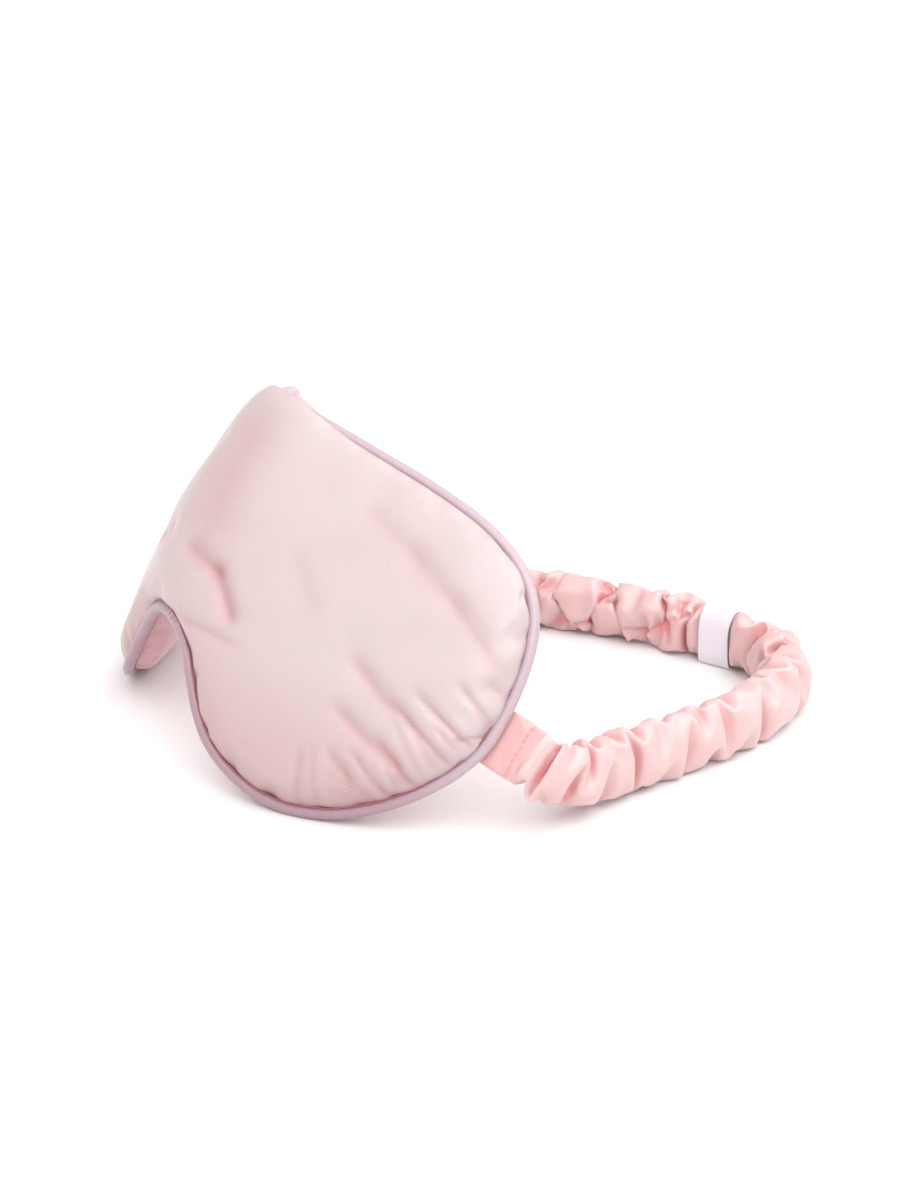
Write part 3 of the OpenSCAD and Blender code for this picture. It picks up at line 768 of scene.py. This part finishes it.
def strap_section(at, full, angle):
    """The strap's outline before it gathers: flat at the tabs, bulky in the turn, thin under the label."""
    bulk = 1.3 * np.exp(-((at - TURN_AT) / 20) ** 2)
    under_label = 0.6 * (1 - ease((np.abs(at - LABEL_AT) - LABEL_HALF + 0.5) / 3))
    slim = 0.1 * full
    half_up = (TAB_WIDTH + (STRAP_WIDTH - TAB_WIDTH) * full) / 2 - slim - under_label * 0.3
    half_side = (TAB_THICK + 0.8 + (STRAP_DEPTH - TAB_THICK - 0.8) * full) / 2 - slim
    half_side = half_side - under_label + bulk
    across = boxy(np.cos(angle), 0.8)[None] * half_side[:, None]
    rise = boxy(np.sin(angle), 0.8)[None] * half_up[:, None]
    return np.stack([across, rise], -1), half_side, half_up


def make_strap():
    """The gathered cover: a straight tube of cloth is gathered first, then laid along the route."""
    sides = 46
    at, centre, side, up, full = strap_curve(1.0)
    count, length = len(at), at[-1]
    # angle 0 is the outer face, a quarter turn is the top edge, a half turn is the inner face
    angle = np.linspace(0, 2 * math.pi, sides, endpoint=False)
    section, half_side, half_up = strap_section(at, full, angle)
    ratio = np.interp(at, GATHER_AT, GATHER)
    long_at = np.concatenate([[0], np.cumsum((ratio[1:] + ratio[:-1]) / 2 * np.diff(at))])
    # the cloth is fixed at both tabs and under the label
    hold = np.full((count, sides), STRAP_HOLD)
    hold[np.minimum(at, length - at) < 1.2] = 1.0
    hold[np.abs(at - LABEL_AT) < LABEL_HALF + 0.8] = 1.0
    # the tube's own seam runs in waves along the inner face and is caught down to the elastic
    wave = math.pi - SEAM_WAVE * np.sin(at * 2 * math.pi / SEAM_PITCH + 0.8 * np.sin(at / 11))
    off_seam = angle[None] - wave[:, None]
    caught = (np.abs(off_seam) < math.pi / sides) & ((at > SEAM_FROM) & (at < length - 6))[:, None]
    section[..., 0] = np.where(caught, section[..., 0] * SEAM_CAUGHT, section[..., 0])
    hold = np.where(caught, np.maximum(hold, SEAM_HOLD), hold)
    target = np.concatenate([np.repeat(at[:, None, None], sides, 1), section], -1).reshape(-1, 3)
    # before it gathers, the tube is as long as its cloth, a tenth thicker and a little rough
    loose = np.concatenate([np.repeat(long_at[:, None, None], sides, 1), section * 1.1], -1).reshape(-1, 3)
    loose += 0.6 * np.stack([smooth_noise(target, 6, 50 + i) for i in range(3)], -1)
    faces = grid_faces(count, sides, wrap_columns=True)
    cloth = settle(loose, faces, hold.ravel(), target,
                   pull_in=12, frames=24, bending=6.0, pressure=0.35)
    # the elastic inside keeps the two faces of the cloth apart
    face_side = np.tile(np.where(np.cos(angle) >= 0, 1.0, -1.0), count)
    over_elastic = 1 - ease((np.abs(cloth[:, 2]) - ELASTIC_WIDTH / 2 - 0.3) / 1.0)
    clear = (ELASTIC_THICK / 2 + ELASTIC_GAP) * over_elastic
    cloth[:, 1] = np.where(cloth[:, 1] * face_side < clear, clear * face_side, cloth[:, 1])
    # painted shade: the colour deepens where a point lies further in than the strap's outline, down in its
    # folds
    reach = np.hypot(cloth[:, 1] / np.repeat(half_side, sides), cloth[:, 2] / np.repeat(half_up, sides))
    fold = np.clip((1.0 - reach) * 1.8, 0, 1)
    # the straight tube is laid along the route
    place = np.clip(cloth[:, 0], 0, length)
    centre, side, up = (
        np.stack([np.interp(place, at, table[:, i]) for i in range(3)], -1) for table in (centre, side, up)
    )
    rings = centre + side * cloth[:, 1:2] + up * cloth[:, 2:3]
    # the lowest folds flatten where they lie on the surface
    z, depth = rings[:, 2], FOLD_SOFT - FOLD_FLOOR
    flattened = FOLD_FLOOR + depth * np.exp(np.minimum(z - FOLD_SOFT, 0) / depth)
    rings[:, 2] = np.where(z < FOLD_SOFT, flattened, z)
    faces += end_caps(count, sides)
    strap = link_object("gathered_strap", rings, faces, STRAP_SATIN, fold=fold)
    weld(strap, 0.001)
    refine(strap)
    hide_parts("strap_cover_right", "strap_cover_left", "strap_cover_back")
    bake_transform(strap)


def make_elastic():
    """The elastic band inside the strap, one piece from tab to tab."""
    at, centre, side, up, full = strap_curve(1.0)
    angle = np.linspace(0, 2 * math.pi, 24, endpoint=False)
    across = boxy(np.cos(angle), 0.5) * ELASTIC_THICK / 2
    rise = boxy(np.sin(angle), 0.5) * ELASTIC_WIDTH / 2
    ribs = 1 + 0.06 * np.sin(at * 2 * math.pi / 2.4)
    section = np.stack([across[None] * ribs[:, None], rise[None] * (0.94 + 0.06 * full[:, None])], -1)
    elastic = tube("elastic_band", centre, side, up, section, ELASTIC, False)
    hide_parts("elastic_right", "elastic_left", "elastic_back")
    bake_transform(elastic)


def stitch(centre, along, away, length, radius):
    """One short raised stitch: a rounded bar that dips at both ends."""
    rings, sides = 7, 8
    across = np.cross(along, away)
    verts = []
    for i in range(rings):
        t = i / (rings - 1) * 2 - 1
        r = radius * math.sqrt(max(0.02, 1 - t ** 4))
        mid = centre + along * t * length / 2 - away * radius * 1.1 * t ** 4
        for j in range(sides):
            a = 2 * math.pi * j / sides
            verts.append(mid + across * r * math.cos(a) + away * r * math.sin(a))
    return verts, grid_faces(rings, sides, wrap_columns=True) + end_caps(rings, sides)


def stitches(name, places, material, length, radius):
    """One piece of many stitches; a place is a middle, the way the thread runs and the way it faces."""
    verts, faces = [], []
    for centre, along, away in places:
        bar, bar_faces = stitch(centre, along, away, length, radius)
        faces += [tuple(i + len(verts) for i in face) for face in bar_faces]
        verts += bar
    return link_object(name, verts, faces, material)


# ---------------------------------------------------------------- tabs
# along the lobe from the temple: where a tab starts, how far it goes into the strap, and its stitches
TAB_IN, TAB_INTO_STRAP, STITCHES_AT = -3.6, 2.2, TAB_REACH - 1.4
TAB_STITCHES, TAB_STITCH_PITCH = 8, 1.9


def make_tab(name, node, thread_name, thread_node, mirror):
    """A flat sewn tab from under the piping to the strap, with its row of stitches."""
    flip = OTHER_SIDE if mirror else np.array([1, 1, 1])
    steps, sides = 26, 40
    angle = np.linspace(0, 2 * math.pi, sides, endpoint=False)
    rings = []
    for x in np.linspace(TAB_IN, TAB_REACH + TAB_INTO_STRAP, steps):
        half_width = TAB_WIDTH / 2 - 0.25 * ease((x - 5) / 3)
        # the row of stitches presses the cloth in
        half_thick = TAB_THICK / 2 - 0.25 * math.exp(-((x - STITCHES_AT) / 0.7) ** 2)
        rise = boxy(np.cos(angle), 0.35) * half_width
        back = boxy(np.sin(angle), 0.8) * half_thick
        ripple = 0.12 * np.sin(rise * 1.4 + x * 0.8) * ease((x + 2) / 5)
        centre = TEMPLE + ALONG_LOBE * x + TO_BACK * (TAB_BACK + TAB_THICK / 2)
        rings.append(centre + UP_MASK * rise[:, None] + TO_BACK * (back + ripple)[:, None])
    rings = np.array(rings) * flip
    faces = grid_faces(steps, sides, wrap_columns=True) + end_caps(steps, sides)
    # painted shade: the tab is a quarter of the way to the strap's deep tone all over
    fold = np.full(steps * sides, 0.25)
    tab = link_object(name, rings.reshape(-1, 3), faces, STRAP_SATIN, fold=fold)
    weld(tab, 0.001)
    places = []
    for away, back in ((-TO_BACK, TAB_BACK + 0.02), (TO_BACK, TAB_BACK + TAB_THICK - 0.02)):
        for i in range(TAB_STITCHES):
            rise = (i - (TAB_STITCHES - 1) / 2) * TAB_STITCH_PITCH
            x = STITCHES_AT + 0.15 * math.sin(i * 2.1)
            centre = TEMPLE + ALONG_LOBE * x + UP_MASK * rise + TO_BACK * back
            places.append((centre * flip, UP_MASK * flip, away * flip))
    thread = stitches(thread_name, places, STRAP_THREAD, 1.35, 0.2)
    for piece, node_name, slot in ((tab, node, "strap_satin"), (thread, thread_node, "thread")):
        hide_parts(node_name)
        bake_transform(piece)


# ---------------------------------------------------------------- label
RIBBON_THICK = 0.3
LABEL_STITCHES, LABEL_STITCH_ROWS = 5, 3.8


def soften(corners, times):
    """A closed path with its corners cut off, again and again."""
    path = np.array(corners, float)
    for _ in range(times):
        after = np.roll(path, -1, 0)
        path = np.stack([path * 0.78 + after * 0.22, path * 0.22 + after * 0.78], 1).reshape(-1, 2)
    return path


def make_label():
    """A blank ribbon folded round the strap: flat on both faces, with a low roof along its top."""
    at, centre, side, up = strap_curve(0.5)[:4]
    rows = np.abs(at - LABEL_AT) <= LABEL_HALF
    centre, side, up = centre[rows], side[rows], up[rows]
    count = len(centre)
    # across the strap and up it, in shares of its half thickness and half width
    corners = [(-1, -0.98), (-1.05, 0.48), (-0.45, 1.0), (0.30, 0.96), (0.98, 0.66), (1, -0.95), (0, -1)]
    path = soften(corners, 3)
    depth, height = path[None, :, 0], path[None, :, 1]
    # from one edge of the ribbon to the other
    drift = np.linspace(-1, 1, count)[:, None]
    layers = []
    for inside in (0.0, RIBBON_THICK):
        half_side = STRAP_DEPTH / 2 + 0.4 - inside
        half_up = STRAP_WIDTH / 2 + 0.3 - inside
        wave = 0.18 * np.sin(2.3 * drift + height * 3) * (1 - 0.5 * np.abs(height))
        across = depth * half_side + wave
        rise = height * half_up + 0.35 * drift * depth
        layers.append(centre[:, None] + side[:, None] * across[..., None] + up[:, None] * rise[..., None])
    rings = np.concatenate([layers[0], layers[1][::-1]])
    # its lower fold lies flat on the surface
    rings[..., 2] = np.maximum(rings[..., 2], 0.05)
    faces = grid_faces(len(rings), len(path), wrap_rows=True, wrap_columns=True)
    label = link_object("ribbon_label", rings.reshape(-1, 3), faces, RIBBON)
    weld(label, 0.0001)
    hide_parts("label")
    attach(label, "strap_back")
    places = []
    for i in range(LABEL_STITCHES):
        row = count // 2 + int((i - LABEL_STITCHES // 2) * LABEL_STITCH_ROWS)
        forward = unit(centre[row + 1] - centre[row - 1])
        on_face = centre[row] + side[row] * (STRAP_DEPTH / 2 + 0.5) - up[row] * 4
        places.append((on_face, forward, side[row]))
    thread = stitches("label_stitching", places, LABEL_THREAD, 1.3, 0.16)
    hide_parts("label_thread")
    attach(thread, "strap_back")


# ---------------------------------------------------------------- build
add_camera()
add_studio()
# the second colour of each satin is its deep tone: painted shade mixes it in where the mesh carries it,
# and the dye's unevenness and the weave's grain a little everywhere
FRONT_SATIN = satin("front_satin", (0.525, 0.44, 0.44), (0.40, 0.16, 0.17), roughness=0.4)
BACK_SATIN = satin("back_satin", (0.72, 0.45, 0.48), (0.48, 0.20, 0.23), roughness=0.42)
PIPING_SATIN = satin("piping_satin", (0.46, 0.36, 0.405), (0.24, 0.09, 0.13), roughness=0.38)
STRAP_SATIN = satin("strap_satin", (0.61, 0.44, 0.435), (0.70, 0.22, 0.22), roughness=0.36, glow=0.35)
THREAD = plain_cloth("rose_thread", (0.40, 0.14, 0.16), (0.26, 0.07, 0.09), 0.7, 3000, 0.08)
STRAP_THREAD = plain_cloth("tab_thread", (0.80, 0.36, 0.36), (0.62, 0.22, 0.24), 0.6, 3000, 0.08)
LABEL_THREAD = plain_cloth("label_thread", (0.85, 0.78, 0.82), (0.7, 0.6, 0.66), 0.6, 3000, 0.08)
WADDING = plain_cloth("wadding", (0.88, 0.87, 0.84), (0.72, 0.71, 0.68), 0.95, 420, 0.5)
LINING = plain_cloth("blackout_cloth", (0.02, 0.02, 0.025), (0.04, 0.04, 0.045), 0.85, 1600, 0.1)
CORD = plain_cloth("cotton_cord", (0.86, 0.85, 0.82), (0.66, 0.65, 0.62), 0.9, 700, 0.3, bands=True)
ELASTIC = plain_cloth("knitted_elastic", (0.88, 0.87, 0.86), (0.7, 0.69, 0.68), 0.8, 900, 0.2, bands=True)
RIBBON = plain_cloth("label_ribbon", (0.74, 0.72, 0.77), (0.68, 0.66, 0.72), 0.45, 1400, 0.05)

make_panels()
make_piping()
make_strap()
make_elastic()
make_tab("sewn_tab_right", "tab_right", "tab_stitches_right", "tab_thread_right", False)
make_tab("sewn_tab_left", "tab_left", "tab_stitches_left", "tab_thread_left", True)
make_label()

for node, material in (("blackout_lining", LINING), ("piping_cord", CORD)):
    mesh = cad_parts[node].data
    mesh.materials.clear()
    mesh.materials.append(material)
